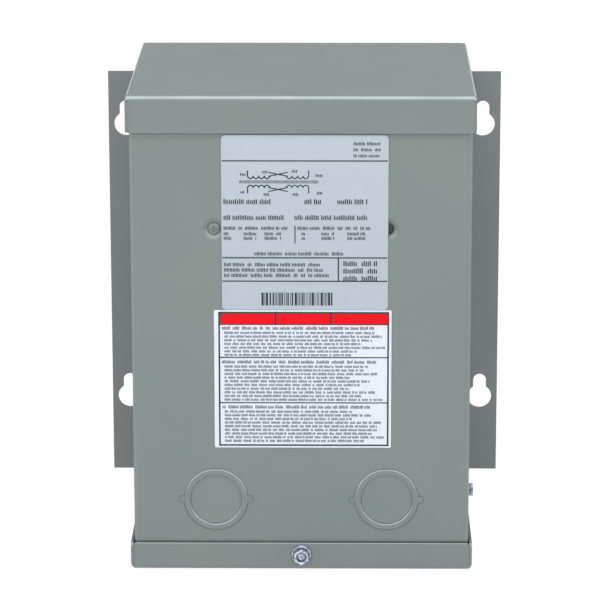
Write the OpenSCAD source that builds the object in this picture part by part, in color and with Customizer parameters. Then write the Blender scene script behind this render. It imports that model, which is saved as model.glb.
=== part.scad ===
// Buck-boost transformer in a small rainproof sheet-metal case, for a wall.
// +X is to the right seen from the front, +Y goes into the wall, +Z is up.
// The origin is on the wall face, at the middle of the four keyholes.

/* [Case] */
// Width of the case over its two side walls
case_w = 184; // [170:1:190]
// Depth from the wall to the front panel
case_d = 165.1; // [120:0.1:220]
// Height from the underside to the top of the cover
case_h = 265.8; // [255:0.1:320]
// Thickness of the bent sheet
sheet = 1.5; // [1:0.1:2]
// Outer radius of each bend
bend_r = 2.8; // [2.4:0.1:3.5]

/* [Covers] */
// Height of the top cover's lips
top_lip = 20.4; // [14:0.1:26]
// Height of the bottom cover's lips
bottom_lip = 15.5; // [13:0.1:20]
// Gap between a lip and the wall that it covers
lip_gap = 0.5; // [0.4:0.1:1.2]
// Open seam between a front lip and a side lip
seam = 0.3; // [0.3:0.1:1]
// Corner radius of the side lips
side_lip_r = 3; // [1:0.1:5]
// Corner radius of the front and rear lips
front_lip_r = 1.8; // [0.5:0.1:4]

/* [Mounting plate] */
// Width of the plate
plate_w = 228.6; // [222:0.1:250]
// Height of the plate
plate_h = 241.3; // [200:0.1:250]
// Thickness of the plate
plate_t = 1.9; // [1.5:0.1:3]
// Height of the plate's lower edge over the underside
plate_low = 7.1; // [3:0.1:12]
// Distance between the two columns of keyholes
key_pitch_x = 208; // [206:0.5:210]
// Distance between the two rows of keyholes
key_pitch_z = 165.1; // [120:0.1:170]
// Height of the lower keyholes over the underside
key_low = 52.25; // [40:0.05:60]
// Radius of a keyhole's wide end
key_r = 7; // [6:0.1:8]
// Half width of a keyhole's slot
slot_r = 3.8; // [3:0.1:4.5]
// Rise of the slot's upper end over the wide end
slot_rise = 10; // [8:0.5:14]

/* [Knockouts] */
// Distance between the two knockouts
ko_pitch = 93.6; // [60:0.1:120]
// Height of the knockouts over the underside
ko_height = 40.1; // [36:0.1:50]
// Radius of the large knockout
ko_outer_r = 17.45; // [16:0.05:18]
// Radius of the small knockout
ko_inner_r = 14.1; // [10:0.05:14.5]
// How far the ring stands proud of the panel
ko_proud = 0.7; // [0.2:0.1:1]

/* [Labels] */
// Width of the nameplate
name_w = 89.8; // [60:0.1:100]
// Height of the nameplate
name_h = 96.4; // [60:0.1:97]
// Width of the lower label
label_w = 96.4; // [60:0.1:110]
// Height of the lower label
label_h = 77.8; // [40:0.1:82]

/* [Hidden] */
$fn = 64;
eps = 0.01;

// Levels and outer faces
underside = -(key_low + key_pitch_z / 2);
top = underside + case_h;
front = -case_d;
lip_out = lip_gap + sheet;
cap_half_w = case_w / 2 + lip_out;
cap_front = front - lip_out;
cap_back = -plate_t - 0.2;
wrap_bottom = underside + sheet;
wrap_h = case_h - 2 * sheet;

// Clearance round a rear lip, which tucks in between the side walls
rear_gap = 0.2;

// Potted core: it fills the case above the wiring space
wiring_h = 75.8;
core_headroom = 23;
core_front_gap = 3;

// Screws: the large one holds the bottom cover, the small one is in the right wall
cover_screw_z = underside + 8.6;
cover_washer_r = 5.8;
cover_flats = 7.94;
cover_head_h = 4.8;
cover_shank_r = 2.4;
cover_hole_r = 2.8;
side_screw_y = front + 20;
side_screw_z = underside + 39.8;
side_washer_r = 4.1;
side_flats = 6.35;
side_head_h = 2.9;
side_shank_r = 2.1;
washer_t = 0.9;
cup_d = 1.2;
shank_l = 10;

// Pressed dimples that hold the two front screws
dimple_x = 46.9;
dimple_z = underside + 192.5;
dimple_r = 5.8;
dimple_floor_r = 3.4;
dimple_d = 1.8;
front_head_r = 3.1;
front_head_h = 1;
front_shank_r = 1.8;
cross_w = 0.9;
cross_l = 3.2;
cross_d = 0.9;

// Knockouts: cut gap, recess of the disc, tabs to the panel and ties to the disc
ko_x = ko_pitch / 2;
ko_z = underside + ko_height;
ko_gap = 0.15;
ko_recess = 0.1;
ko_tab_from = ko_outer_r - ko_gap - 0.3;
ko_tab_end = ko_outer_r + 2.6;
ko_tab_w = 3.6;
ko_tab_t = 0.45;
ko_tie_w = 3;
ko_tie_t = 0.6;

// Labels
label_t = 0.3;
name_x = 2.1;
name_top = top - top_lip - 1.1;
name_corner_r = 2.2;
label_x = 0.9;
label_corner_r = 0.8;
label_top = name_top - name_h - 0.2;

paint = [0.53, 0.56, 0.545];
plate_paint = [0.52, 0.545, 0.53];
zinc = [0.75, 0.77, 0.8];
dark_steel = [0.12, 0.13, 0.13];
compound = [0.2, 0.2, 0.21];
foil = [0.77, 0.79, 0.83];
white = [0.94, 0.95, 0.97];

// Plan of a wrapped sheet's outer or inner face: two rounded corners at the front
module rounded_front(width, y_front, y_back, r) {
    translate([-width / 2, y_front + r])
        square([width, y_back - y_front - r]);
    translate([-width / 2 + r, y_front])
        square([width - 2 * r, r + eps]);
    for (side = [-1, 1])
        translate([side * (width / 2 - r), y_front + r])
            circle(r);
}

// Rectangle with four rounded corners, centred on the origin
module rounded_rect(width, height, r) {
    square([width - 2 * r, height], center = true);
    square([width, height - 2 * r], center = true);
    for (x = [-1, 1], z = [-1, 1])
        translate([x * (width / 2 - r), z * (height / 2 - r)])
            circle(r);
}

// Lays a drawing on the XZ plane and gives it a thickness towards +Y
module upright(thickness) {
    translate([0, thickness, 0])
        rotate([90, 0, 0])
            linear_extrude(height = thickness)
                children();
}

// Cylinder or cone along +Y, from the origin
module along_y(h, r1, r2) {
    rotate([-90, 0, 0])
        cylinder(h = h, r1 = r1, r2 = r2);
}

// Rail of a folded edge: half of an upside-down U, bent at its outer top corner.
// It spans from 0 to +reach, with its top at height 0 and its lip hanging down.
module folded_edge(reach, lip) {
    difference() {
        union() {
            translate([0, -bend_r])
                square([reach - bend_r, bend_r]);
            translate([0, -lip])
                square([reach, lip - bend_r]);
            translate([reach - bend_r, -bend_r])
                circle(bend_r);
        }
        translate([-eps, -lip - eps])
            square([reach - sheet + eps, lip - bend_r + eps]);
        translate([-eps, -bend_r - eps])
            square([reach - bend_r + eps, bend_r - sheet + eps]);
        translate([reach - bend_r, -bend_r])
            circle(bend_r - sheet);
    }
}

// Outline of a lip that hangs down from height 0, with its two lower corners rounded
module lip_outline(half_w, lip, r) {
    translate([-half_w, -lip + r])
        square([2 * half_w, lip - r + eps]);
    translate([-half_w + r, -lip])
        square([2 * half_w - 2 * r, r + eps]);
    for (side = [-1, 1])
        translate([side * (half_w - r), -lip + r])
            circle(r);
}

// Front or rear edge of a cap, folded along X. reach is the way from mid_y to its outer face.
module cross_edge(half_w, mid_y, reach, dir, lip) {
    intersection() {
        translate([-half_w, mid_y, 0])
            rotate([90, 0, 90])
                linear_extrude(height = 2 * half_w)
                    mirror([dir < 0 ? 1 : 0, 0])
                        folded_edge(reach, lip);
        translate([0, mid_y - (dir < 0 ? reach + 1 : 1), 0])
            upright(reach + 2)
                lip_outline(half_w, lip, front_lip_r);
    }
}

// Side edges of a cap, folded along Y, with a rounded lip corner at the front and the rear
module side_edges(lip) {
    length = cap_back - cap_front;
    for (side = [0, 1])
        mirror([side, 0, 0])
            intersection() {
                translate([0, cap_back, 0])
                    rotate([90, 0, 0])
                        linear_extrude(height = length)
                            folded_edge(cap_half_w, lip);
                translate([-1, cap_front + length / 2, 0])
                    rotate([90, 0, 90])
                        linear_extrude(height = cap_half_w + 2)
                            lip_outline(length / 2, lip, side_lip_r);
            }
}

// Cap folded from one sheet, with its top face at height 0 and its four lips hanging down.
// The front and rear lips sit between the side lips, with open seams at the corners.
module folded_cap(lip) {
    front_half_w = cap_half_w - sheet - seam;
    rear_half_w = case_w / 2 - sheet - rear_gap;
    mid_y = (cap_front + cap_back) / 2;
    reach = (cap_back - cap_front) / 2;
    notch = bend_r + seam;
    difference() {
        side_edges(lip);
        for (y = [cap_front - 1, cap_back - notch])
            translate([-cap_half_w - 1, y, -bend_r - seam])
                cube([2 * cap_half_w + 2, notch + 1, bend_r + seam + 1]);
    }
    cross_edge(front_half_w, mid_y, reach, -1, lip);
    cross_edge(rear_half_w, mid_y, reach, 1, lip);
}

// Flat screw head along +Y, its top at the origin, with a cross recess
module cross_head(r, h) {
    difference() {
        union() {
            along_y(0.4 * h, 0.8 * r, r);
            translate([0, 0.4 * h, 0])
                along_y(0.6 * h, r, r);
        }
        for (turn = [0, 90])
            rotate([0, turn, 0])
                translate([-cross_l / 2, -eps, -cross_w / 2])
                    cube([cross_l, cross_d, cross_w]);
    }
}

module keyhole() {
    circle(key_r);
    translate([0, slot_rise])
        circle(slot_r);
    translate([-slot_r, 0])
        square([2 * slot_r, slot_rise]);
}

// Flat plate with a keyhole near each corner
module mounting_plate() {
    color(plate_paint)
        translate([0, -plate_t, 0])
            upright(plate_t)
                difference() {
                    translate([0, underside + plate_low + plate_h / 2])
                        square([plate_w, plate_h], center = true);
                    for (x = [-1, 1], z = [-1, 1])
                        translate([x * key_pitch_x / 2, z * key_pitch_z / 2])
                            keyhole();
                }
}

// Front panel and both side walls, bent from one sheet
module case_wrap() {
    color(paint)
        difference() {
            union() {
                translate([0, 0, wrap_bottom])
                    linear_extrude(height = wrap_h)
                        difference() {
                            rounded_front(case_w, front, -plate_t, bend_r);
                            rounded_front(case_w - 2 * sheet, front + sheet, 0, bend_r - sheet);
                        }
                for (side = [-1, 1])
                    translate([side * dimple_x, front + sheet - eps, dimple_z])
                        along_y(dimple_d, dimple_r + sheet, dimple_floor_r + sheet);
            }
            for (side = [-1, 1]) {
                translate([side * ko_x, front - 1, ko_z])
                    along_y(sheet + 2, ko_outer_r, ko_outer_r);
                translate([side * dimple_x, front, dimple_z])
                    along_y(dimple_d, dimple_r, dimple_floor_r);
                translate([side * dimple_x, front, dimple_z])
                    along_y(dimple_d + sheet + 1, front_shank_r, front_shank_r);
            }
            translate([0, front - 1, cover_screw_z])
                along_y(sheet + 2, cover_shank_r, cover_shank_r);
            translate([case_w / 2 - sheet - 1, side_screw_y, side_screw_z])
                rotate([0, 90, 0])
                    cylinder(h = sheet + 2, r = side_shank_r);
        }
}

module top_cover() {
    color(paint)
        translate([0, 0, top])
            folded_cap(top_lip);
}

module bottom_cover() {
    color(paint)
        difference() {
            translate([0, 0, underside])
                mirror([0, 0, 1])
                    folded_cap(bottom_lip);
            translate([0, cap_front - 1, cover_screw_z])
                along_y(sheet + 2, cover_hole_r, cover_hole_r);
        }
}

// Core and coils, cast in compound: one block that fills the upper case
module potted_core() {
    color(compound)
        difference() {
            translate([-case_w / 2 + sheet, front + sheet + core_front_gap, underside + wiring_h])
                cube([case_w - 2 * sheet, case_d - sheet - core_front_gap - plate_t,
                    case_h - wiring_h - core_headroom]);
            for (side = [-1, 1])
                translate([side * dimple_x, front + dimple_d, dimple_z])
                    along_y(front_head_h + shank_l, front_shank_r, front_shank_r);
        }
}

// Hex washer head screw along +Y, seated at the origin, with a cup in its head
module hex_screw(washer_r, flats, head_h, shank_r, reach) {
    cup_r = 0.36 * flats;
    along_y(reach, shank_r, shank_r);
    translate([0, -washer_t, 0])
        along_y(washer_t, 0.9 * washer_r, washer_r);
    difference() {
        translate([0, -head_h, 0])
            rotate([-90, 30, 0])
                cylinder(h = head_h, r = flats / sqrt(3), $fn = 6);
        translate([0, -head_h - eps, 0])
            along_y(cup_d, cup_r, 0.8 * cup_r);
    }
}

// Screw through the bottom cover's front lip
module cover_screw() {
    color(zinc)
        translate([0, cap_front, cover_screw_z])
            hex_screw(cover_washer_r, cover_flats, cover_head_h, cover_shank_r, lip_out + shank_l);
}

// Screw low in the right side wall, near the front
module side_screw() {
    color(zinc)
        translate([case_w / 2, side_screw_y, side_screw_z])
            rotate([0, 0, 90])
                hex_screw(side_washer_r, side_flats, side_head_h, side_shank_r, sheet + shank_l);
}

// Screw that sits in a pressed dimple of the front panel: the left one is painted over
module front_screw(side) {
    color(side < 0 ? paint : dark_steel)
        translate([side * dimple_x, front + dimple_d - front_head_h, dimple_z]) {
            cross_head(front_head_r, front_head_h);
            translate([0, cross_d, 0])
                along_y(front_head_h - cross_d + shank_l, front_shank_r, front_shank_r);
        }
}

// Outer ring of a knockout, pushed proud of the panel and held by a tab on either side
module knockout_ring(side) {
    color(paint)
        translate([side * ko_x, front - ko_proud, ko_z]) {
            difference() {
                along_y(sheet, ko_outer_r - ko_gap, ko_outer_r - ko_gap);
                translate([0, -1, 0])
                    along_y(sheet + 2, ko_inner_r + ko_gap, ko_inner_r + ko_gap);
            }
            for (tab = [-1, 1])
                translate([tab * (ko_tab_from + ko_tab_end) / 2, ko_proud - ko_tab_t / 2, 0])
                    cube([ko_tab_end - ko_tab_from, ko_tab_t, ko_tab_w], center = true);
        }
}

// Inner disc of a knockout, tied to its ring on either side
module knockout_disc(side) {
    color(paint)
        translate([side * ko_x, front + ko_recess, ko_z]) {
            along_y(sheet, ko_inner_r, ko_inner_r);
            intersection() {
                along_y(ko_tie_t, ko_inner_r + ko_gap, ko_inner_r + ko_gap);
                cube([3 * ko_inner_r, 3 * ko_tie_t, ko_tie_w], center = true);
            }
        }
}

module nameplate() {
    color(foil)
        translate([name_x, front - label_t, name_top - name_h / 2])
            upright(label_t)
                rounded_rect(name_w, name_h, name_corner_r);
}

module lower_label() {
    color(white)
        translate([label_x, front - label_t, label_top - label_h / 2])
            upright(label_t)
                rounded_rect(label_w, label_h, label_corner_r);
}

mounting_plate();
case_wrap();
top_cover();
bottom_cover();
potted_core();
cover_screw();
side_screw();
front_screw(-1);  // left_front_screw
front_screw(1);  // right_front_screw
knockout_ring(-1);  // left_knockout_ring
knockout_ring(1);  // right_knockout_ring
knockout_disc(-1);  // left_knockout_disc
knockout_disc(1);  // right_knockout_disc
nameplate();
lower_label();
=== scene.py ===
import math
import random
import bmesh
import bpy
from mathutils import Matrix, Vector


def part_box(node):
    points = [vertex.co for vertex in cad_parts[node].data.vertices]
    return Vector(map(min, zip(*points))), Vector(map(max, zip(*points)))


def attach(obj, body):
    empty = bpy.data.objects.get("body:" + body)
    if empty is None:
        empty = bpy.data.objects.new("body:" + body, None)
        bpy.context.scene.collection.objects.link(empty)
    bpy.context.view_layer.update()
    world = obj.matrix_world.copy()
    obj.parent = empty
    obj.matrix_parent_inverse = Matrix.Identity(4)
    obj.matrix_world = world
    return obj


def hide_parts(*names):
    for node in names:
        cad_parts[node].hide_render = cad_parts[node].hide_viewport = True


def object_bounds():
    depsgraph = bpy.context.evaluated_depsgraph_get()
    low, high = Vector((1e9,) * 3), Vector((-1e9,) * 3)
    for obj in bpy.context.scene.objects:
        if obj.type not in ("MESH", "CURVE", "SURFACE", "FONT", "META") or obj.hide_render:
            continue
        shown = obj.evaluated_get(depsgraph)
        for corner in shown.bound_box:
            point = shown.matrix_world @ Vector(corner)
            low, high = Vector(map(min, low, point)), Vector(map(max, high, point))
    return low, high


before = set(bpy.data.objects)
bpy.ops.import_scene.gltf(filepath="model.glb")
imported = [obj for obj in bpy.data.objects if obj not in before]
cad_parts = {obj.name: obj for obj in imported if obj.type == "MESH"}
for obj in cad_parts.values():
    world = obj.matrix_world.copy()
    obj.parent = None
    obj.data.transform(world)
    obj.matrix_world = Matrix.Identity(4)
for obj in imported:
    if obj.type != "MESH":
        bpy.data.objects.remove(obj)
cadLow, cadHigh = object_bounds()
mm = 0.001
hair = 0.01 * mm  # two places closer than this are the same place
print("frame loaded, box in mm:", [round(side / mm, 1) for side in cadHigh - cadLow])


# Working in object and edit mode

def deselectAll():
    if bpy.context.object and bpy.context.object.mode != "OBJECT":
        bpy.ops.object.mode_set(mode="OBJECT")
    bpy.ops.object.select_all(action="DESELECT")


def makeActive(piece):
    deselectAll()
    piece.select_set(True)
    bpy.context.view_layer.objects.active = piece


def enterEdit(piece):
    makeActive(piece)
    bpy.ops.object.mode_set(mode="EDIT")
    bpy.ops.mesh.select_mode(type="VERT")
    bpy.ops.mesh.select_all(action="DESELECT")


def leaveEdit():
    bpy.ops.object.mode_set(mode="OBJECT")


def near(a, b):
    return abs(a - b) < hair


def pick(piece, kind, test):
    # in edit mode, select the vertices, edges or faces whose every corner passes the test
    bpy.ops.mesh.select_mode(type=kind)
    bpy.ops.mesh.select_all(action="DESELECT")
    mesh = bmesh.from_edit_mesh(piece.data)
    group = {"VERT": mesh.verts, "EDGE": mesh.edges, "FACE": mesh.faces}[kind]
    for item in group:
        corners = [item.co] if kind == "VERT" else [v.co for v in item.verts]
        if all(test(c) for c in corners):
            item.select_set(True)
    bmesh.update_edit_mesh(piece.data)


def extrudeBy(x, y, z):
    bpy.ops.mesh.extrude_region_move(TRANSFORM_OT_translate={"value": (x, y, z)})


def cutAt(place, direction):
    bpy.ops.mesh.bisect(plane_co=place, plane_no=direction)


def roundEdges(radius, steps):
    bpy.ops.mesh.bevel(offset=radius, segments=steps, affect="EDGES", clamp_overlap=False)


def roundCorners(radius, steps):
    bpy.ops.mesh.bevel(offset=radius, segments=steps, affect="VERTICES", clamp_overlap=False)


def applyModifier(piece, kind, **settings):
    makeActive(piece)
    modifier = piece.modifiers.new(kind.title(), kind)
    for setting, value in settings.items():
        setattr(modifier, setting, value)
    bpy.ops.object.modifier_apply(modifier=modifier.name)


def named(name):
    piece = bpy.context.object
    piece.name = piece.data.name = name
    bpy.ops.object.transform_apply(location=True, rotation=True, scale=True)
    return piece


def flatSheet(name, width, height, centre, upright=False):
    # a rectangle that lies flat, or stands facing the front
    deselectAll()
    turn = (math.pi / 2, 0, 0) if upright else (0, 0, 0)
    bpy.ops.mesh.primitive_plane_add(size=1, location=centre, rotation=turn)
    bpy.context.object.scale = (width, height, 1)
    return named(name)


def block(name, size, centre):
    deselectAll()
    bpy.ops.mesh.primitive_cube_add(size=1, location=centre)
    bpy.context.object.scale = size
    return named(name)


def rod(name, radius, depth, centre, turn=(math.pi / 2, 0, 0), sides=64):
    deselectAll()
    bpy.ops.mesh.primitive_cylinder_add(
        vertices=sides, radius=radius, depth=depth, location=centre, rotation=turn)
    return named(name)


def joined(name, pieces):
    deselectAll()
    for piece in pieces:
        piece.select_set(True)
    bpy.context.view_layer.objects.active = pieces[0]
    if len(pieces) > 1:
        bpy.ops.object.join()
    return named(name)


def copyOf(piece, name, shift):
    makeActive(piece)
    bpy.ops.object.duplicate()  # the copy has its own mesh
    bpy.context.object.location = shift
    return named(name)


def booleanWith(piece, other, operation):
    applyModifier(piece, "BOOLEAN", object=other, operation=operation, solver="EXACT")
    bpy.data.objects.remove(other)


def turnOutward(piece, inside):
    # an open sheet has to face away from the inside before it gets its thickness
    enterEdit(piece)
    bpy.ops.mesh.select_all(action="SELECT")
    bpy.ops.mesh.remove_doubles(threshold=hair / 10)
    bpy.ops.mesh.normals_make_consistent(inside=False)
    leaveEdit()
    outward = sum(f.normal.dot(f.center - inside) * f.area for f in piece.data.polygons)
    if outward < 0:
        enterEdit(piece)
        bpy.ops.mesh.select_all(action="SELECT")
        bpy.ops.mesh.flip_normals()
        leaveEdit()


def recalculate(piece):
    enterEdit(piece)
    bpy.ops.mesh.select_all(action="SELECT")
    bpy.ops.mesh.remove_doubles(threshold=hair)
    bpy.ops.mesh.normals_make_consistent(inside=False)
    leaveEdit()


def giveThickness(piece, thickness, offset=-1):
    applyModifier(piece, "SOLIDIFY", thickness=thickness, offset=offset,
                  use_even_offset=True, use_quality_normals=True)


def softenEdges(piece, width, steps=2, angle=50):
    applyModifier(piece, "BEVEL", width=width, segments=steps, limit_method="ANGLE",
                  angle_limit=math.radians(angle))
    makeActive(piece)
    bpy.ops.object.shade_smooth_by_angle(angle=math.radians(40))
    applyModifier(piece, "WEIGHTED_NORMAL", keep_sharp=True, weight=80)


def spunPiece(name, centre, profile, steps=64):
    # profile is (radius, depth towards the wall) points, turned about a line along Y
    deselectAll()
    radius, depth = profile[0]
    start = centre + Vector((radius, depth, 0))
    bpy.ops.mesh.primitive_plane_add(size=mm, location=start)
    piece = named(name)
    bpy.ops.object.mode_set(mode="EDIT")
    bpy.ops.mesh.select_mode(type="VERT")
    bpy.ops.mesh.select_all(action="SELECT")
    bpy.ops.mesh.merge(type="CENTER")
    for (fromRadius, fromDepth), (toRadius, toDepth) in zip(profile, profile[1:]):
        extrudeBy(toRadius - fromRadius, toDepth - fromDepth, 0)
    bpy.ops.mesh.select_all(action="SELECT")
    bpy.ops.mesh.spin(steps=steps, angle=math.tau, center=centre, axis=(0, 1, 0))
    leaveEdit()
    recalculate(piece)
    return piece


def middleOf(node):
    low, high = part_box(node)
    return (low + high) / 2


def keepInside(piece, node):
    # a bevel at a tight inner corner can overshoot by a few hundredths of a millimetre
    low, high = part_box(node)
    for vertex in piece.data.vertices:
        vertex.co = [min(max(c, a), b) for c, a, b in zip(vertex.co, low, high)]


def setFlag(piece, flag, test=lambda place: True):
    # a flag that holds back a painted mark there: either the painted highlight on upward bends or the
    # painted shade in gaps
    layer = piece.data.attributes.new(flag, "FLOAT", "POINT")
    for value, vertex in zip(layer.data, piece.data.vertices):
        value.value = 1.0 if test(vertex.co) else 0.0


def standFor(piece, material, slotName, *nodes):
    for node in nodes:
        keepInside(piece, node)
    piece.data.materials.clear()
    piece.data.materials.append(material)
    if nodes:
        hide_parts(*nodes)
    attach(piece, "root")
    print("made", piece.name, len(piece.data.polygons), "faces")


# Finishes

def linear(colour):
    # colours are written as display values from 0 to 255
    return tuple(c / 3294.6 if c <= 10.3 else ((c / 255 + 0.055) / 1.055) ** 2.4 for c in colour) + (1,)


def shaderOf(name, colour, roughness, **sockets):
    material = bpy.data.materials.new(name)
    material.use_nodes = True
    shader = material.node_tree.nodes["Principled BSDF"]
    shader.inputs["Base Color"].default_value = linear(colour)
    shader.inputs["Roughness"].default_value = roughness
    for socket, value in sockets.items():
        shader.inputs[socket.replace("_", " ")].default_value = value
    return material, material.node_tree, shader


def noiseNode(tree, scale, detail=3.0, stretch=(1, 1, 1)):
    place = tree.nodes.new("ShaderNodeTexCoord")
    mapping = tree.nodes.new("ShaderNodeMapping")
    mapping.inputs["Scale"].default_value = stretch
    noise = tree.nodes.new("ShaderNodeTexNoise")
    noise.inputs["Scale"].default_value = scale
    noise.inputs["Detail"].default_value = detail
    tree.links.new(place.outputs["Object"], mapping.inputs["Vector"])
    tree.links.new(mapping.outputs["Vector"], noise.inputs["Vector"])
    return noise.outputs["Fac"]


def remap(tree, value, fromLow, fromHigh, toLow, toHigh):
    node = tree.nodes.new("ShaderNodeMapRange")
    for socket, number in zip(("From Min", "From Max", "To Min", "To Max"),
                              (fromLow, fromHigh, toLow, toHigh)):
        node.inputs[socket].default_value = number
    tree.links.new(value, node.inputs["Value"])
    return node.outputs["Result"]


def blendColours(tree, factor, first, second):
    node = tree.nodes.new("ShaderNodeMix")
    node.data_type = "RGBA"
    tree.links.new(factor, node.inputs["Factor"])
    for socket, colour in zip((node.inputs[6], node.inputs[7]), (first, second)):
        if isinstance(colour, tuple):
            socket.default_value = linear(colour)
        else:
            tree.links.new(colour, socket)
    return node.outputs[2]


def bumpFrom(tree, shader, height, strength, distance):
    node = tree.nodes.new("ShaderNodeBump")
    node.inputs["Strength"].default_value = strength
    node.inputs["Distance"].default_value = distance
    tree.links.new(height, node.inputs["Height"])
    tree.links.new(node.outputs["Normal"], shader.inputs["Normal"])


def mathNode(tree, operation, first, second):
    node = tree.nodes.new("ShaderNodeMath")
    node.operation = operation
    for socket, value in zip(node.inputs, (first, second)):
        if isinstance(value, float):
            socket.default_value = value
        else:
            tree.links.new(value, socket)
    return node.outputs[0]


def flagNode(tree, flag):
    # 1 where a piece carries the flag, 0 elsewhere and on every piece without it
    node = tree.nodes.new("ShaderNodeAttribute")
    node.attribute_name = flag
    return node.outputs["Fac"]


def paintedHighlightMask(tree):
    # mask of the painted highlight: 0 on every flat face, up to 1 on a bend or an edge that faces
    # upward, a little on the others
    surface = tree.nodes.new("ShaderNodeNewGeometry")
    size = tree.nodes.new("ShaderNodeVectorMath")
    size.operation = "ABSOLUTE"
    tree.links.new(surface.outputs["Normal"], size.inputs[0])
    parts = tree.nodes.new("ShaderNodeSeparateXYZ")
    tree.links.new(size.outputs["Vector"], parts.inputs[0])
    most = mathNode(tree, "MAXIMUM", mathNode(tree, "MAXIMUM", parts.outputs[0], parts.outputs[1]),
                    parts.outputs[2])
    slope = remap(tree, most, 0.997, 0.8, 0.0, 1.0)
    height = tree.nodes.new("ShaderNodeSeparateXYZ")
    tree.links.new(surface.outputs["Normal"], height.inputs[0])
    upward = remap(tree, height.outputs[2], 0.0, 0.45, 0.12, 1.0)
    # the painted highlight is held back on pieces that carry the flag for it
    highlightDimming = remap(tree, flagNode(tree, "pressed"), 0.0, 1.0, 1.0, 0.42)
    return mathNode(tree, "MULTIPLY", mathNode(tree, "MULTIPLY", slope, upward), highlightDimming)


def crevices(tree, reach, unshaded=0.87, shaded=0.55):
    # mask for painted shade: 0 in the open, 1 deep in a gap or close under an edge
    node = tree.nodes.new("ShaderNodeAmbientOcclusion")
    node.samples = 12
    node.inputs["Distance"].default_value = reach
    return remap(tree, node.outputs["AO"], unshaded, shaded, 0.0, 1.0)


# the third colour and its strength give the painted highlight on upward-facing bends and edges
casePaintLook = {"colour": (136, 141, 136), "shade": (132, 138, 134), "highlightColour": (220, 222, 221),
                 "highlightStrength": 0.94, "roughness": (0.46, 0.5), "peel": 0.05}
platePaintLook = {"colour": (143, 146, 143), "shade": (138, 142, 139), "highlightColour": (194, 198, 198),
                  "highlightStrength": 0.5, "roughness": (0.48, 0.54), "peel": 0.07}
# painted shade: the dark colour blended into gaps and close under edges
paintedShade = {"colour": (62, 68, 70), "reach": 1.9 * mm, "strength": 0.85, "shadeHeldBackStrength": 0.2}


def enamel(name, colour, shade, highlightColour, highlightStrength, roughness, peel):
    # baked enamel on steel: faint clouding and orange peel, with a painted highlight where bends and
    # edges face upward and painted shade in gaps and close under edges
    material, tree, shader = shaderOf(name, colour, 0.5)
    shader.inputs["Specular IOR Level"].default_value = 0.3
    clouds = remap(tree, noiseNode(tree, 14.0), 0.35, 0.7, 0.0, 1.0)
    body = blendColours(tree, clouds, colour, shade)
    patchy = remap(tree, noiseNode(tree, 60.0), 0.3, 0.7, 0.8 * highlightStrength, highlightStrength)
    # painted highlight: bends and edges that face upward are lightened, a little unevenly
    highlightMask = mathNode(tree, "MULTIPLY", paintedHighlightMask(tree), patchy)
    highlighted = blendColours(tree, highlightMask, body, highlightColour)
    # painted shade: the enamel darkens in gaps and under edges, less on the pieces flagged for it
    strength = remap(tree, flagNode(tree, "shadeHeldBack"), 0.0, 1.0, paintedShade["strength"], paintedShade["shadeHeldBackStrength"])
    shadeMask = mathNode(tree, "MULTIPLY", crevices(tree, paintedShade["reach"]), strength)
    tree.links.new(blendColours(tree, shadeMask, highlighted, paintedShade["colour"]), shader.inputs["Base Color"])
    smears = noiseNode(tree, 40.0, stretch=(1, 1, 0.35))
    tree.links.new(remap(tree, smears, 0.3, 0.7, *roughness), shader.inputs["Roughness"])
    bumpFrom(tree, shader, noiseNode(tree, 700.0, 2.0), peel, 0.2 * mm)
    return material


def brightZinc():
    material, tree, shader = shaderOf("brightZinc", (196, 202, 212), 0.3, Metallic=1.0)
    spangle = remap(tree, noiseNode(tree, 650.0), 0.35, 0.65, 0.0, 1.0)
    plating = blendColours(tree, spangle, (134, 143, 157), (202, 210, 221))
    # painted shade: the plating darkens in the head's cup and where the screw meets the panel
    tree.links.new(blendColours(tree, crevices(tree, 2.2 * mm, 0.9, 0.5), plating, (50, 56, 64)),
                   shader.inputs["Base Color"])
    tree.links.new(remap(tree, noiseNode(tree, 320.0), 0.3, 0.7, 0.2, 0.42),
                   shader.inputs["Roughness"])
    bumpFrom(tree, shader, noiseNode(tree, 1500.0), 0.15, 0.05 * mm)
    return material


def darkSteel():
    material, tree, shader = shaderOf("darkSteel", (52, 55, 56), 0.5, Metallic=0.6)
    oil = remap(tree, noiseNode(tree, 500.0), 0.35, 0.65, 0.0, 1.0)
    tree.links.new(blendColours(tree, oil, (44, 47, 48), (70, 72, 72)), shader.inputs["Base Color"])
    tree.links.new(remap(tree, oil, 0, 1, 0.4, 0.6), shader.inputs["Roughness"])
    return material


def labelFilm(name, colour, shade, roughness, coat, grain):
    # printed film: nearly even, with a fine grain and a slightly uneven gloss
    material, tree, shader = shaderOf(name, colour, roughness)
    shader.inputs["Coat Weight"].default_value = coat
    shader.inputs["Coat Roughness"].default_value = 0.12
    fibres = remap(tree, noiseNode(tree, grain), 0.3, 0.7, 0.0, 1.0)
    tree.links.new(blendColours(tree, fibres, colour, shade), shader.inputs["Base Color"])
    tree.links.new(remap(tree, noiseNode(tree, 60.0), 0.3, 0.7, roughness - 0.05, roughness + 0.07),
                   shader.inputs["Roughness"])
    bumpFrom(tree, shader, noiseNode(tree, 110.0), 0.05, 0.2 * mm)
    return material


def castCompound():
    material, tree, shader = shaderOf("castCompound", (58, 58, 60), 0.7)
    sand = remap(tree, noiseNode(tree, 380.0, 6.0), 0.35, 0.65, 0.0, 1.0)
    tree.links.new(blendColours(tree, sand, (48, 48, 50), (78, 77, 76)), shader.inputs["Base Color"])
    bumpFrom(tree, shader, sand, 0.5, 0.4 * mm)
    return material


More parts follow.
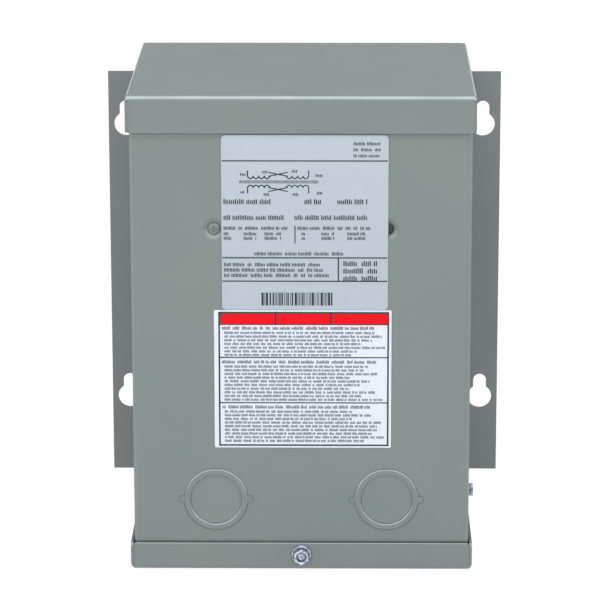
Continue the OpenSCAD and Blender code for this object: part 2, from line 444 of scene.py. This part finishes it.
casePaint = enamel("caseEnamel", **casePaintLook)
platePaint = enamel("plateEnamel", **platePaintLook)
zinc = brightZinc()
blackened = darkSteel()
foil = labelFilm("silverFilm", (191, 196, 203), (184, 189, 198), 0.36, 0.2, 900.0)
whiteFilm = labelFilm("whiteFilm", (240, 240, 247), (234, 235, 243), 0.32, 0.1, 500.0)
ink = labelFilm("blackInk", (20, 21, 26), (28, 29, 34), 0.55, 0.0, 700.0)
redInk = labelFilm("redInk", (250, 16, 30), (240, 12, 24), 0.6, 0.0, 700.0)
redInk.node_tree.nodes["Principled BSDF"].inputs["Specular IOR Level"].default_value = 0.15
compound = castCompound()
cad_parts["potted_core"].data.materials.clear()
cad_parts["potted_core"].data.materials.append(compound)
print("finishes made")


# Top and bottom covers: caps folded from one sheet

cover = {"sheet": 1.5 * mm, "bend": 2.8 * mm, "bendSteps": 8, "relief": 0.3 * mm,
         "lidSeam": 0.06 * mm, "traySeam": 0.15 * mm, "lidCorner": 1.0 * mm, "trayCorner": 1.8 * mm,
         "sideCorner": 3.0 * mm, "rearInset": 3.7 * mm, "lipRound": 0.42 * mm, "edge": 0.22 * mm,
         "screwHole": 2.8 * mm}


def foldedCap(name, node, down, seam, cornerRadius):
    # down is -1 where the lips hang from the top, 1 where they stand on the underside
    low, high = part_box(node)
    level = high.z if down < 0 else low.z
    lip = down * (high.z - low.z)
    halfWidth, front, back = high.x, low.y, high.y
    frontHalf = halfWidth - cover["sheet"] - seam
    rearHalf = halfWidth - cover["rearInset"]
    relief = cover["bend"] + cover["relief"]
    reliefLevel = level + down * relief

    cap = flatSheet(name, 2 * frontHalf, back - relief - front,
                    (0, (front + back - relief) / 2, level))
    enterEdit(cap)
    for place, direction in (((0, front + relief, 0), (0, 1, 0)),
                             ((-rearHalf, 0, 0), (1, 0, 0)), ((rearHalf, 0, 0), (1, 0, 0))):
        bpy.ops.mesh.select_all(action="SELECT")
        cutAt(place, direction)
    for side in (-1, 1):
        pick(cap, "EDGE", lambda c: near(c.x, side * frontHalf) and c.y > front + relief - hair)
        extrudeBy(side * (halfWidth - frontHalf), 0, 0)
        extrudeBy(0, 0, lip)
    pick(cap, "EDGE", lambda c: near(c.y, front))
    extrudeBy(0, 0, lip)
    pick(cap, "EDGE", lambda c: near(c.y, back - relief) and abs(c.x) < rearHalf + hair
         and near(c.z, level))
    extrudeBy(0, relief, 0)
    extrudeBy(0, 0, lip)

    pick(cap, "EDGE", lambda c: near(c.z, level) and (
        near(abs(c.x), halfWidth) or near(c.y, front) or near(c.y, back)))
    roundEdges(cover["bend"], cover["bendSteps"])
    pick(cap, "FACE", lambda c: near(abs(c.x), halfWidth))
    cutAt((0, 0, reliefLevel), (0, 0, 1))
    for y, step in ((front + relief, -relief), (back - relief, relief)):
        pick(cap, "EDGE", lambda c: near(abs(c.x), halfWidth) and near(c.y, y)
             and (c.z - reliefLevel) * down > -hair)
        extrudeBy(0, step, 0)
    bottom = level + lip
    pick(cap, "VERT", lambda c: near(c.z, bottom) and near(abs(c.x), halfWidth)
         and (near(c.y, front) or near(c.y, back)))
    roundCorners(cover["sideCorner"], 6)
    pick(cap, "VERT", lambda c: near(c.z, bottom) and (
        (near(abs(c.x), frontHalf) and near(c.y, front))
        or (near(abs(c.x), rearHalf) and near(c.y, back))))
    roundCorners(cornerRadius, 5)
    leaveEdit()
    turnOutward(cap, Vector((0, (front + back) / 2, bottom)))
    giveThickness(cap, cover["sheet"])
    enterEdit(cap)
    pick(cap, "EDGE", lambda c: near(c.z, bottom) and near(c.y, front) and abs(c.x) < frontHalf - hair)
    roundEdges(cover["lipRound"], 4)  # the lip's free edge is rolled over a little
    leaveEdit()
    return cap


def closedCorners(cap, node, down):
    # the notch where a front bend meets a side bend is filled and ground round
    low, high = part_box(node)
    radius = cover["bend"]
    level = high.z + down * radius if down < 0 else low.z + radius
    balls = []
    for x in (low.x + radius, high.x - radius):
        deselectAll()
        bpy.ops.mesh.primitive_uv_sphere_add(
            segments=48, ring_count=24, radius=radius, location=(x, low.y + radius, level))
        bpy.ops.object.shade_smooth()
        balls.append(named("cornerFill"))
    return joined(cap.name, [cap] + balls)


topCover = foldedCap("lidShell", "top_cover", -1, cover["lidSeam"], cover["lidCorner"])
softenEdges(topCover, cover["edge"])
topCover = closedCorners(topCover, "top_cover", -1)
standFor(topCover, casePaint, "case_paint", "top_cover")

bottomCover = foldedCap("trayShell", "bottom_cover", 1, cover["traySeam"], cover["trayCorner"])
trayLow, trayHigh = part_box("bottom_cover")
screwMiddle = middleOf("cover_screw")
booleanWith(bottomCover, rod("trayScrewHole", cover["screwHole"], 8 * mm,
                             (screwMiddle.x, trayLow.y, screwMiddle.z)), "DIFFERENCE")
softenEdges(bottomCover, cover["edge"])
lipInside = trayHigh.x - cover["sheet"] - hair
lipStart = trayLow.z + 2 * cover["bend"]
# the painted highlight is held back on the tray's side lips
setFlag(bottomCover, "pressed", lambda c: abs(c.x) > lipInside and c.z > lipStart)
bottomCover = closedCorners(bottomCover, "bottom_cover", 1)
standFor(bottomCover, casePaint, "case_paint", "bottom_cover")


# Case wrap: front panel and side walls, with holes and pressed dimples

wrap = {"sheet": 1.5 * mm, "bend": 2.8 * mm, "bendSteps": 8, "edge": 0.2 * mm,
        "frontScrewHole": 2.4 * mm, "sideScrewHole": 2.1 * mm}
dimple = {"rim": 5.8 * mm, "floor": 3.4 * mm, "depth": 1.8 * mm, "hole": 1.8 * mm,
          "patch": 8.0 * mm, "rimRound": 1.1 * mm, "floorRound": 0.5 * mm}
knockout = {"hole": 17.45 * mm, "edge": 0.68 * mm}


def caseWrap():
    low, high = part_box("case_wrap")
    front, sheet = low.y, wrap["sheet"]
    depth = high.y - low.y
    shell = flatSheet("wrapShell", high.x - low.x, high.z - low.z,
                      (0, front, (low.z + high.z) / 2), upright=True)
    enterEdit(shell)
    for x in (low.x, high.x):
        pick(shell, "EDGE", lambda c: near(c.x, x))
        extrudeBy(0, depth, 0)
    pick(shell, "EDGE", lambda c: near(c.y, front) and near(abs(c.x), high.x))
    roundEdges(wrap["bend"], wrap["bendSteps"])
    leaveEdit()
    turnOutward(shell, Vector((0, (low.y + high.y) / 2, (low.z + high.z) / 2)))
    giveThickness(shell, sheet)

    cutters = []
    for side in ("left", "right"):
        middle = middleOf(side + "_knockout_disc")
        cutters.append(rod(side + "KnockoutHole", knockout["hole"], 4 * sheet,
                           (middle.x, front, middle.z), sides=96))
        middle = middleOf(side + "_front_screw")
        cutters.append(rod(side + "DimpleHole", dimple["patch"], 4 * sheet,
                           (middle.x, front, middle.z)))
    middle = middleOf("cover_screw")
    cutters.append(rod("frontScrewHole", wrap["frontScrewHole"], 4 * sheet,
                       (middle.x, front, middle.z), sides=32))
    middle = middleOf("side_screw")
    cutters.append(rod("sideScrewHole", wrap["sideScrewHole"], 4 * sheet,
                       (high.x, middle.y, middle.z), turn=(0, math.pi / 2, 0), sides=32))
    booleanWith(shell, joined("wrapCutters", cutters), "DIFFERENCE")

    cups = []
    for side in ("left", "right"):
        middle = middleOf(side + "_front_screw")
        centre = Vector((middle.x, front, middle.z))

        def fromCentre(c):
            return math.hypot(c.x - centre.x, c.z - centre.z)

        enterEdit(shell)
        pick(shell, "FACE", lambda c: near(fromCentre(c), dimple["patch"]))
        bpy.ops.mesh.delete(type="ONLY_FACE")
        bpy.ops.mesh.select_all(action="SELECT")
        bpy.ops.mesh.delete_loose()
        leaveEdit()
        floor, back = dimple["depth"], dimple["depth"] + sheet
        cup = spunPiece(side + "Cup", centre, [
            (dimple["patch"], 0), (dimple["rim"], 0), (dimple["floor"], floor),
            (dimple["hole"], floor),
            (dimple["hole"], back), (dimple["floor"] + sheet, back), (dimple["rim"] + sheet, sheet),
            (dimple["patch"], sheet)])
        enterEdit(cup)
        pick(cup, "EDGE", lambda c: near(fromCentre(c), dimple["rim"]) and near(c.y, front))
        roundEdges(dimple["rimRound"], 6)
        pick(cup, "EDGE", lambda c: near(fromCentre(c), dimple["floor"]) and near(c.y, front + floor))
        roundEdges(dimple["floorRound"], 4)
        leaveEdit()
        # the painted highlight is held back in the dimple
        setFlag(cup, "pressed")
        cups.append(cup)
    shell = joined("wrapShell", [shell] + cups)
    recalculate(shell)
    softenEdges(shell, wrap["edge"])
    standFor(shell, casePaint, "case_paint", "case_wrap")


caseWrap()


# Knockouts: a ring pushed proud of the panel round a disc

ring = {"inner": 14.13 * mm, "outer": 17.42 * mm, "sheet": 1.5 * mm, "tabEnd": 20.05 * mm,
        "tabOverlap": 0.3 * mm, "tabWidth": 3.6 * mm, "tabThickness": 0.45 * mm, "tabEdge": 0.2 * mm}
disc = {"radius": 14.1 * mm, "sheet": 1.5 * mm, "recess": 0.1 * mm, "edge": 0.3 * mm,
        "tieLength": 0.6 * mm, "tieReach": 0.15 * mm, "tieWidth": 3.0 * mm, "tieThickness": 0.6 * mm}


def knockoutPieces(side):
    low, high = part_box(side + "_knockout_ring")
    middle = middleOf(side + "_knockout_disc")
    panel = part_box("case_wrap")[0].y
    centre = Vector((middle.x, low.y, middle.z))
    inner, outer, sheet = ring["inner"], ring["outer"], ring["sheet"]
    turned = spunPiece(side + "RingTurned", centre, [
        (inner, 0), (outer, 0), (outer, sheet), (inner, sheet), (inner, 0)], steps=96)
    softenEdges(turned, knockout["edge"], 3)
    tabLength = ring["tabEnd"] - outer + ring["tabOverlap"]
    tabSize = (tabLength, ring["tabThickness"], ring["tabWidth"])
    tabs = [block(side + "Tab", tabSize, (middle.x + way * (ring["tabEnd"] - tabLength / 2),
                                          panel - ring["tabThickness"] / 2, middle.z))
            for way in (-1, 1)]
    for tab in tabs:
        softenEdges(tab, ring["tabEdge"])
    whole = joined(side + "KnockoutRing", [turned] + tabs)
    # the painted shade is held back in the knockout ring's gaps
    setFlag(whole, "shadeHeldBack")
    standFor(whole, casePaint, "case_paint", side + "_knockout_ring")

    discFront = panel + disc["recess"]
    centre = Vector((middle.x, discFront, middle.z))
    plug = spunPiece(side + "DiscTurned", centre, [
        (0, 0), (disc["radius"], 0), (disc["radius"], disc["sheet"]), (0, disc["sheet"])], steps=96)
    softenEdges(plug, disc["edge"], 3)
    tieSize = (disc["tieLength"], disc["tieThickness"], disc["tieWidth"])
    ties = [block(side + "Tie", tieSize, (middle.x + way * (disc["radius"] - disc["tieReach"]),
                                          discFront + disc["tieThickness"] / 2, middle.z))
            for way in (-1, 1)]
    whole = joined(side + "KnockoutDisc", [plug] + ties)
    # the painted shade is held back round the knockout disc
    setFlag(whole, "shadeHeldBack")
    standFor(whole, casePaint, "case_paint", side + "_knockout_disc")


for side in ("left", "right"):
    knockoutPieces(side)


# Mounting plate

plate = {"keyRadius": 7.0 * mm, "slotRadius": 3.8 * mm, "slotRise": 10.0 * mm,
         "pitchX": 208.0 * mm, "pitchZ": 165.1 * mm, "edge": 0.25 * mm}


def mountingPlate():
    low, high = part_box("mounting_plate")
    thickness = high.y - low.y
    sheet = flatSheet("wallPlate", high.x - low.x, high.z - low.z,
                      (0, low.y, (low.z + high.z) / 2), upright=True)
    giveThickness(sheet, thickness)
    middle = (low.y + high.y) / 2
    rise = plate["slotRise"]
    through = 6 * thickness
    keyhole = rod("keyhole", plate["keyRadius"], through, (0, middle, 0))
    booleanWith(keyhole, rod("slotEnd", plate["slotRadius"], through, (0, middle, rise), sides=32),
                "UNION")
    booleanWith(keyhole, block("slotSides", (2 * plate["slotRadius"], through, rise),
                               (0, middle, rise / 2)), "UNION")
    copies = [copyOf(keyhole, "keyholeCopy", (x * plate["pitchX"] / 2, 0, z * plate["pitchZ"] / 2))
              for x in (-1, 1) for z in (-1, 1)]
    bpy.data.objects.remove(keyhole)
    booleanWith(sheet, joined("keyholes", copies), "DIFFERENCE")
    recalculate(sheet)
    softenEdges(sheet, plate["edge"])
    standFor(sheet, platePaint, "plate_paint", "mounting_plate")


mountingPlate()


# Screws

coverScrew = {"washer": 5.8 * mm, "flats": 7.94 * mm, "head": 4.8 * mm, "shank": 2.4 * mm,
              "reach": 12.0 * mm}
sideScrew = {"washer": 4.1 * mm, "flats": 6.35 * mm, "head": 2.9 * mm, "shank": 2.1 * mm,
             "reach": 11.5 * mm}
hexHead = {"washer": 0.9 * mm, "washerTaper": 0.9, "washerEdge": 0.2 * mm, "overlap": 0.4 * mm,
           "headEdge": 0.35 * mm, "cup": 0.36, "cupFlare": 0.2 * mm, "cupTaper": 0.8, "cupDepth": 0.5}


def hexScrew(name, size, place, turn, node):
    # seated at the origin facing the front, then turned and put in place
    washer, overlap = hexHead["washer"], hexHead["overlap"]
    body = spunPiece(name + "Washer", Vector((0, 0, 0)), [
        (0, -washer), (hexHead["washerTaper"] * size["washer"], -washer), (size["washer"], 0),
        (size["shank"], 0), (size["shank"], size["reach"]), (0, size["reach"])], steps=48)
    head = rod(name + "Head", size["flats"] / math.sqrt(3), size["head"] - overlap,
               (0, -(size["head"] + overlap) / 2, 0), sides=6)
    cup, depth = hexHead["cup"] * size["flats"], hexHead["cupDepth"] * size["head"]
    well = spunPiece(name + "Well", Vector((0, -size["head"], 0)), [
        (0, -mm), (cup + hexHead["cupFlare"], -mm), (cup, 0), (hexHead["cupTaper"] * cup, depth),
        (0, depth)], steps=32)
    booleanWith(head, well, "DIFFERENCE")
    softenEdges(head, hexHead["headEdge"], 3)
    softenEdges(body, hexHead["washerEdge"])
    screw = joined(name, [body, head])
    screw.location = place
    screw.rotation_euler = (0, 0, turn)
    screw = joined(name, [screw])
    standFor(screw, zinc, "zinc", node)


hexScrew("coverScrew", coverScrew, (screwMiddle.x, trayLow.y, screwMiddle.z), 0, "cover_screw")
sideMiddle = middleOf("side_screw")
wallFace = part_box("case_wrap")[1].x
hexScrew("sideScrew", sideScrew, (wallFace, sideMiddle.y, sideMiddle.z), math.pi / 2, "side_screw")

frontScrew = {"head": 3.1 * mm, "height": 1.0 * mm, "shank": 1.8 * mm, "edge": 0.1 * mm,
              "slotLength": 3.2 * mm, "slotWidth": 0.9 * mm, "slotDepth": 0.75 * mm,
              "paintedDepth": 0.35 * mm}


def crossScrew(side, material, slotName, slotDepth):
    node = side + "_front_screw"
    low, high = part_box(node)
    middle = middleOf(node)
    seat = Vector((middle.x, low.y, middle.z))
    head, height = frontScrew["head"], frontScrew["height"]
    screw = spunPiece(side + "CrossScrew", seat, [
        (0, 0), (0.55 * head, 0.06 * mm), (0.85 * head, 0.28 * mm), (head, 0.7 * mm), (head, height),
        (frontScrew["shank"], height), (frontScrew["shank"], high.y - low.y),
        (0, high.y - low.y)], steps=48)
    length, width = frontScrew["slotLength"], frontScrew["slotWidth"]
    slot = block("slotAcross", (length, 2 * slotDepth, width), seat)
    booleanWith(slot, block("slotUp", (width, 2 * slotDepth, length), seat), "UNION")
    booleanWith(screw, slot, "DIFFERENCE")
    recalculate(screw)
    softenEdges(screw, frontScrew["edge"])
    # the painted highlight is held back on the painted-over screw
    setFlag(screw, "pressed")
    standFor(screw, material, slotName, node)


crossScrew("left", casePaint, "case_paint", frontScrew["paintedDepth"])
crossScrew("right", blackened, "dark_steel", frontScrew["slotDepth"])


# Labels

inkThickness = 0.03 * mm


def labelPlate(name, node, cornerRadius, material, slotName):
    low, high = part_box(node)
    film = flatSheet(name, high.x - low.x, high.z - low.z,
                     (middleOf(node).x, low.y, middleOf(node).z), upright=True)
    enterEdit(film)
    bpy.ops.mesh.select_all(action="SELECT")
    roundCorners(cornerRadius, 6)
    leaveEdit()
    giveThickness(film, high.y - low.y)
    softenEdges(film, 0.08 * mm)
    standFor(film, material, slotName, node)
    return Vector((low.x, low.y, high.z))  # its top left corner, from which the print is laid out


def mark(corner, left, top, width, height):
    # one filled rectangle, in mm right of and below the label's top left corner
    middle = Vector(((left + width / 2) * mm, 0, -(top + height / 2) * mm))
    return flatSheet("mark", width * mm, height * mm, corner + middle, upright=True)


def stamps(corner, left, top, size, grid, pitch, drawn):
    # a grid of marks; drawn gives the share of the height for each one that stays
    width, height = size
    strip = mark(corner, left, top - height / 2, width, height)
    applyModifier(strip, "ARRAY", count=grid[1], use_relative_offset=False,
                  use_constant_offset=True, constant_offset_displace=(pitch[0] * mm, 0, 0))
    applyModifier(strip, "ARRAY", count=grid[0], use_relative_offset=False,
                  use_constant_offset=True, constant_offset_displace=(0, 0, -pitch[1] * mm))
    mesh = strip.data
    origin = corner + Vector(((left + width / 2) * mm, 0, -top * mm))
    doomed = []
    for face in mesh.polygons:
        middle = face.center.copy()
        column = round((middle.x - origin.x) / (pitch[0] * mm))
        row = round((origin.z - middle.z) / (pitch[1] * mm))
        share = drawn.get((row, column), 0)
        doomed.append(share == 0)
        for index in face.vertices:
            place = mesh.vertices[index].co
            if place.z > middle.z:
                place.z -= (1 - share) * height * mm
    enterEdit(strip)
    bpy.ops.mesh.select_mode(type="FACE")
    edit = bmesh.from_edit_mesh(mesh)
    for face, gone in zip(edit.faces, doomed):
        face.select_set(gone)
    bmesh.update_edit_mesh(mesh)
    bpy.ops.mesh.delete(type="FACE")
    leaveEdit()
    return strip


def tickRows(corner, left, right, top, rows, pitch, height, tick, seed, ragged=0.0):
    # rows of upright ticks in groups: they are no letters and say nothing
    rng = random.Random(seed)
    step = 1.6 * tick
    columns = int((right - left) / step)
    ticks = {}
    for row in range(rows):
        end = columns * (1 - ragged * rng.random())
        column = 0
        while column < end:
            word = rng.randint(3, 12)
            for place in range(column, min(column + word, int(end))):
                ticks[row, place] = rng.choice((1.0, 0.9, 0.75))
            column += word + rng.choice((1, 2))
    strip = stamps(corner, left, top, (tick, height), (rows, columns), (step, pitch), ticks)
    giveThickness(strip, inkThickness, offset=1)
    return strip


def hatchedBar(corner, left, top, width, height, tick, step):
    bar = mark(corner, left, top, tick, height)
    applyModifier(bar, "ARRAY", count=int(width / step), use_relative_offset=False,
                  use_constant_offset=True, constant_offset_displace=(step * mm, 0, 0))
    return bar


def windingLine(corner, points, width):
    # a drawn line: a thin round wire along the points, pressed nearly flat on the label
    deselectAll()
    curve = bpy.data.curves.new("winding", "CURVE")
    curve.dimensions = "3D"
    curve.bevel_depth = width * mm / 2
    curve.bevel_resolution = 1
    curve.use_fill_caps = True
    spline = curve.splines.new("POLY")
    spline.points.add(len(points) - 1)
    for point, (right, down) in zip(spline.points, points):
        point.co = (right * mm, 0, -down * mm, 1)
    wire = bpy.data.objects.new("winding", curve)
    bpy.context.scene.collection.objects.link(wire)
    makeActive(wire)
    bpy.ops.object.convert(target="MESH")
    wire = bpy.context.object
    wire.scale = (1, 0.08, 1)
    wire.location = corner
    return named("winding")


def scallops(left, level, count, radius, side):
    # half circles in a row, bulging down where side is 1 and up where it is -1
    points = []
    for turn in range(count):
        middle = left + (2 * turn + 1) * radius
        for step in range(9):
            angle = math.pi * step / 8
            points.append((middle - radius * math.cos(angle), level + side * radius * math.sin(angle)))
    return points


winding = {"levels": ((22.2, 1), (28.9, -1)), "ends": (14.2, 47.0), "secondCoil": 35.0,
           "cross": (25.4, 35.8), "loops": 4, "radius": 1.5, "line": 0.7}


def windingDiagram(corner):
    # two coils a side of a core, crossed in the middle: the usual drawing of a transformer
    wires = []
    (first, last), (left, right) = winding["ends"], winding["cross"]
    for level, side in winding["levels"]:
        lead, far, close = level - side * 2.9, level - side * 1.9, level + side * 0.3
        coils = [scallops(start, level, winding["loops"], winding["radius"], side)
                 for start in (first, winding["secondCoil"])]
        wires += [windingLine(corner, points, winding["line"]) for points in (
            [(first, lead)] + coils[0], coils[1] + [(last, lead)],
            [(left, far), (right, close)], [(left, close), (right, far)])]
    return joined("windingDiagram", wires)


def stripOfBars(corner, left, top, width, height, seed):
    rng = random.Random(seed)
    bars, place = [], 0.0
    while place < width:
        thick = rng.choice((0.4, 0.4, 0.8, 1.2))
        bars.append(mark(corner, left + place, top, min(thick, width - place), height))
        place += thick + rng.choice((0.4, 0.4, 0.8))
    return joined("barStrip", bars)


nameplate = {
    "corner": 2.2 * mm, "margin": 0.4, "line": 0.7, "acrossAt": (13.7, 67.1, 80.1),
    "uprights": ((39.3, 49.6, 0.6, 9.9), (62.6, 67.3, 0.7, 13.2)),  # left, top, width, height
    "rows": (  # left, right, top, tick height, tick width
        (71.0, 86.0, 4.6, 1.9, 0.45), (71.0, 86.0, 7.9, 1.7, 0.42), (71.0, 86.0, 11.2, 1.7, 0.42),
        (1.2, 28.0, 36.4, 2.8, 0.64), (44.7, 55.0, 36.4, 2.8, 0.64), (62.4, 79.1, 36.4, 2.8, 0.64),
        (1.2, 35.6, 45.2, 2.6, 0.6), (39.3, 79.6, 45.2, 2.6, 0.6),
        (1.2, 36.1, 51.0, 1.9, 0.45), (40.9, 81.2, 51.0, 1.9, 0.45), (17.6, 66.5, 65.2, 1.9, 0.45),
        (10.3, 14.0, 21.4, 1.6, 0.5), (22.0, 25.8, 20.1, 1.6, 0.5), (37.9, 41.4, 19.7, 1.6, 0.5),
        (50.6, 54.6, 22.0, 1.6, 0.5), (10.3, 14.0, 31.1, 1.6, 0.5), (22.8, 26.4, 32.4, 1.6, 0.5),
        (38.5, 42.2, 32.4, 1.6, 0.5), (51.4, 55.0, 31.7, 1.6, 0.5)),
    "columns": ((1.2, 5.5), (11.9, 19.5), (23.2, 33.0), (43.1, 45.8), (53.8, 61.4), (67.8, 78.0)),
    "core": (9.8, 24.7, 43.0, 1.7, 0.3, 0.6), "bars": (21.4, 86.8, 39.1, 7.2)}


def nameplatePrint():
    # the top left of the label stays bare
    corner = labelPlate("namePlate", "nameplate", nameplate["corner"], foil, "foil")
    low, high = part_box("nameplate")
    width = (high.x - low.x) / mm - 2 * nameplate["margin"]
    rules = [mark(corner, nameplate["margin"], level, width, nameplate["line"])
             for level in nameplate["acrossAt"]]
    rules += [mark(corner, *upright) for upright in nameplate["uprights"]]
    ticks = [tickRows(corner, left, right, top, 1, 3.0, height, tick, seed)
             for seed, (left, right, top, height, tick) in enumerate(nameplate["rows"])]
    for left, right in nameplate["columns"]:
        ticks.append(tickRows(corner, left, right, 54.1, 2, 2.5, 1.8, 0.44, int(left)))
    ticks += [tickRows(corner, 1.2, 61.0, 71.2, 3, 3.0, 2.0, 0.5, 22, ragged=0.12),
              tickRows(corner, 65.7, 85.0, 70.6, 3, 4.1, 2.9, 0.68, 23)]
    core = hatchedBar(corner, *nameplate["core"])
    bars = stripOfBars(corner, *nameplate["bars"], 41)
    lines = joined("namePrint", rules + [core, bars])
    giveThickness(lines, inkThickness, offset=1)
    standFor(joined("namePrint", [lines] + ticks), ink, "label_ink")
    standFor(windingDiagram(corner), ink, "label_ink")


sticker = {
    "corner": 0.8 * mm, "left": 2.4, "right": 95.0, "top": 1.0, "bottom": 76.8, "line": 0.9,
    "thinLine": 0.65, "acrossAt": (7.7, 26.3, 51.9), "dividersAt": (33.0, 63.0), "dividerHeight": 7.0,
    "bandHeight": 6.0,
    "panels": ((10.1, 7), (29.1, 10), (54.6, 9))}  # level of the heading, rows under it


def lowerPrint():
    corner = labelPlate("lowerSticker", "lower_label", sticker["corner"], whiteFilm, "label_white")
    left, right, top, bottom = (sticker[side] for side in ("left", "right", "top", "bottom"))
    line, across = sticker["line"], right - left
    rules = [mark(corner, left, level, across, line) for level in (top, bottom - line)]
    rules += [mark(corner, place, top, line, bottom - top) for place in (left, right - line)]
    rules += [mark(corner, left, level, across, sticker["thinLine"]) for level in sticker["acrossAt"]]
    rules += [mark(corner, place, top, line, sticker["dividerHeight"])
              for place in sticker["dividersAt"]]
    ticks = []
    for index, (heading, rows) in enumerate(sticker["panels"]):
        ticks += [tickRows(corner, 4.4, 90.0, heading, 1, 3.0, 1.8, 0.4, 50 + index, ragged=0.05),
                  tickRows(corner, 5.6, 93.4, heading + 2.6, rows, 2.08, 1.45, 0.26, 60 + index,
                           ragged=0.22)]
    lines = joined("stickerPrint", rules)
    giveThickness(lines, inkThickness, offset=1)
    standFor(joined("stickerPrint", [lines] + ticks), ink, "label_ink")
    band = mark(corner, left + line, top + line, across - 2 * line, sticker["bandHeight"])
    band.name = band.data.name = "stickerBand"
    giveThickness(band, 0.6 * inkThickness, offset=1)
    standFor(band, redInk, "label_red")


nameplatePrint()
lowerPrint()


# Camera, light and floor

camera = {"place": (0.02298, -1.9168, 0.47066), "lens": 197.96, "down": 14.541, "turn": 0.699,
          "roll": -0.069}


def placeCamera():
    lens = bpy.data.cameras.new("frontCamera")
    lens.sensor_width = 36
    lens.lens = camera["lens"]
    lens.clip_start, lens.clip_end = 0.05, 60
    eye = bpy.data.objects.new("frontCamera", lens)
    bpy.context.scene.collection.objects.link(eye)
    turn = Matrix.Rotation(math.radians(camera["turn"]), 4, "Z")
    tilt = Matrix.Rotation(math.radians(90 - camera["down"]), 4, "X")
    roll = Matrix.Rotation(math.radians(camera["roll"]), 4, "Z")
    eye.matrix_world = Matrix.Translation(camera["place"]) @ turn @ tilt @ roll
    bpy.context.scene.camera = eye


studio = {"world": 0.37, "worldColour": (0.9, 0.96, 1.0), "floorShare": 0.86, "floorGlow": 1.12,
          "floorDrop": 2.5 * mm}
softboxes = (  # name, place, size, watts, colour
    ("topSoftbox", (0.0, -0.5, 1.9), (1.8, 1.4), 9.0, (0.5, 0.83, 1.0)),
    ("frontSoftbox", (0.2, -2.6, 0.2), (2.4, 1.6), 13.8, (1.0, 0.95, 0.895)),
    ("lowSoftbox", (0.0, -1.3, -0.085), (1.4, 0.08), 2.7, (0.82, 0.92, 1.0)),
    ("leftSoftbox", (-1.8, -0.9, 0.3), (1.0, 1.2), 6.2, (1.0, 0.99, 0.98)),
    ("rightSoftbox", (1.8, -0.9, 0.3), (1.0, 1.2), 3.8, (1.0, 0.99, 0.98)),
    ("rearLeftSoftbox", (-1.9, 1.5, 0.7), (1.2, 1.2), 8.0, (1.0, 1.0, 1.0)),
    ("rearRightSoftbox", (1.9, 1.5, 0.7), (1.2, 1.2), 8.0, (1.0, 1.0, 1.0)),
    ("bendStrip", (0.0, -0.75, 1.2), (1.4, 0.12), 3.5, (1.0, 0.98, 0.95)))


def seenDirectly(tree):
    # 1 for camera, glossy and transmission rays
    path = tree.nodes.new("ShaderNodeLightPath")
    total = path.outputs["Is Camera Ray"]
    for ray in ("Is Glossy Ray", "Is Transmission Ray"):
        add = tree.nodes.new("ShaderNodeMath")
        add.operation = "ADD"
        add.use_clamp = True
        tree.links.new(total, add.inputs[0])
        tree.links.new(path.outputs[ray], add.inputs[1])
        total = add.outputs[0]
    return total


def lightStudio():
    for name, place, size, watts, colour in softboxes:
        lamp = bpy.data.lights.new(name, "AREA")
        lamp.shape = "RECTANGLE"
        lamp.size, lamp.size_y = size
        lamp.energy = watts
        lamp.color = colour
        holder = bpy.data.objects.new(name, lamp)
        bpy.context.scene.collection.objects.link(holder)
        holder.location = place
        aim = Vector((0, -0.08, 0)) - Vector(place)
        holder.rotation_euler = aim.to_track_quat("-Z", "Y").to_euler()
    world = bpy.data.worlds.new("studioWorld")
    bpy.context.scene.world = world
    world.use_nodes = True
    tree = world.node_tree
    tree.nodes.clear()
    dim = tree.nodes.new("ShaderNodeBackground")
    dim.inputs["Color"].default_value = studio["worldColour"] + (1,)
    dim.inputs["Strength"].default_value = studio["world"]
    white = tree.nodes.new("ShaderNodeBackground")
    white.inputs["Color"].default_value = (1, 1, 1, 1)
    mix = tree.nodes.new("ShaderNodeMixShader")
    out = tree.nodes.new("ShaderNodeOutputWorld")
    tree.links.new(seenDirectly(tree), mix.inputs[0])
    tree.links.new(dim.outputs[0], mix.inputs[1])
    tree.links.new(white.outputs[0], mix.inputs[2])
    tree.links.new(mix.outputs[0], out.inputs[0])


def layFloor():
    floor = flatSheet("studioFloor", 12, 12, (0, 0, cadLow.z - studio["floorDrop"]))
    material, tree, shader = shaderOf("studioFloor", (245, 245, 245), 0.9)
    glow = tree.nodes.new("ShaderNodeEmission")
    glow.inputs["Color"].default_value = (1, 1, 1, 1)
    glow.inputs["Strength"].default_value = studio["floorGlow"]
    share = remap(tree, seenDirectly(tree), 0, 1, 0, studio["floorShare"])
    mix = tree.nodes.new("ShaderNodeMixShader")
    tree.links.new(share, mix.inputs[0])
    tree.links.new(shader.outputs[0], mix.inputs[1])
    tree.links.new(glow.outputs[0], mix.inputs[2])
    tree.links.new(mix.outputs[0], tree.nodes["Material Output"].inputs["Surface"])
    floor.data.materials.append(material)


placeCamera()
lightStudio()
layFloor()
bpy.context.scene.view_settings.view_transform = "Standard"
print("camera, lights and floor placed")
